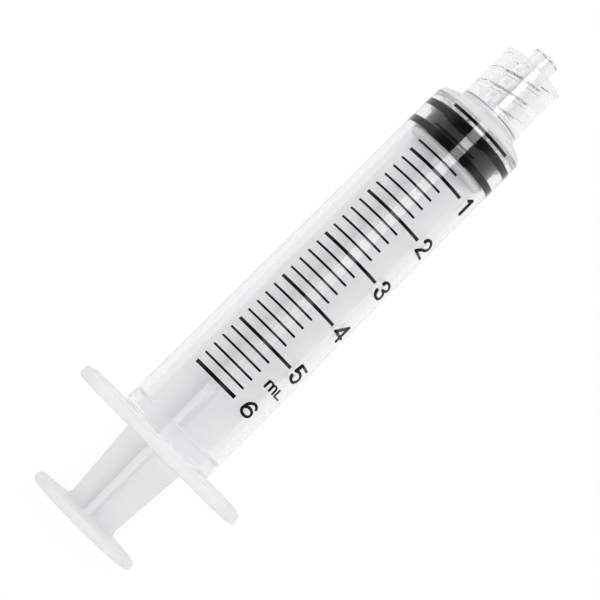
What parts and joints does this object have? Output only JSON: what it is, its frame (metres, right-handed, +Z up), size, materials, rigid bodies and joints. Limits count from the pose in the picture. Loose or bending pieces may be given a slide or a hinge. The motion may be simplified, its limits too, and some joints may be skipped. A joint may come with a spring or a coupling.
{
  "type": "luer lock syringe",
  "caption": "Clear hypodermic syringe with a finger flange, lock collar round a tapered tip, black rubber stopper and ribbed plunger.",
  "frame": {"origin": "under the middle of the syringe, on the surface that it lies on", "axes": "+X along the barrel towards the tip, +Y along a finger wing, +Z up, with the scale on top"},
  "size_m": [0.0874, 0.0282, 0.018],
  "materials": {
    "clear_plastic": "clear moulded polypropylene, smooth and glossy",
    "milky_plastic": "natural moulded polypropylene, milky and satin",
    "black_rubber": "moulded black rubber, wet with silicone oil",
    "black_ink": "printed ink film"
  },
  "bodies": {
    "barrel": {"barrel": "clear_plastic", "scale_print": "black_ink"},
    "stopper": {"stopper": "black_rubber"},
    "plunger": {"plunger_rod": "milky_plastic"}
  },
  "joints": [
    {"name": "plunger_slide", "type": "slide", "parent": "barrel", "child": "stopper", "axis": [-1, 0, 0], "range_m": [-0.0006, 0.05]},
    {"name": "plunger_turn", "type": "hinge", "parent": "stopper", "child": "plunger", "pos_m": [0.027, 0, 0.009], "axis": [1, 0, 0], "continuous": true}
  ]
}
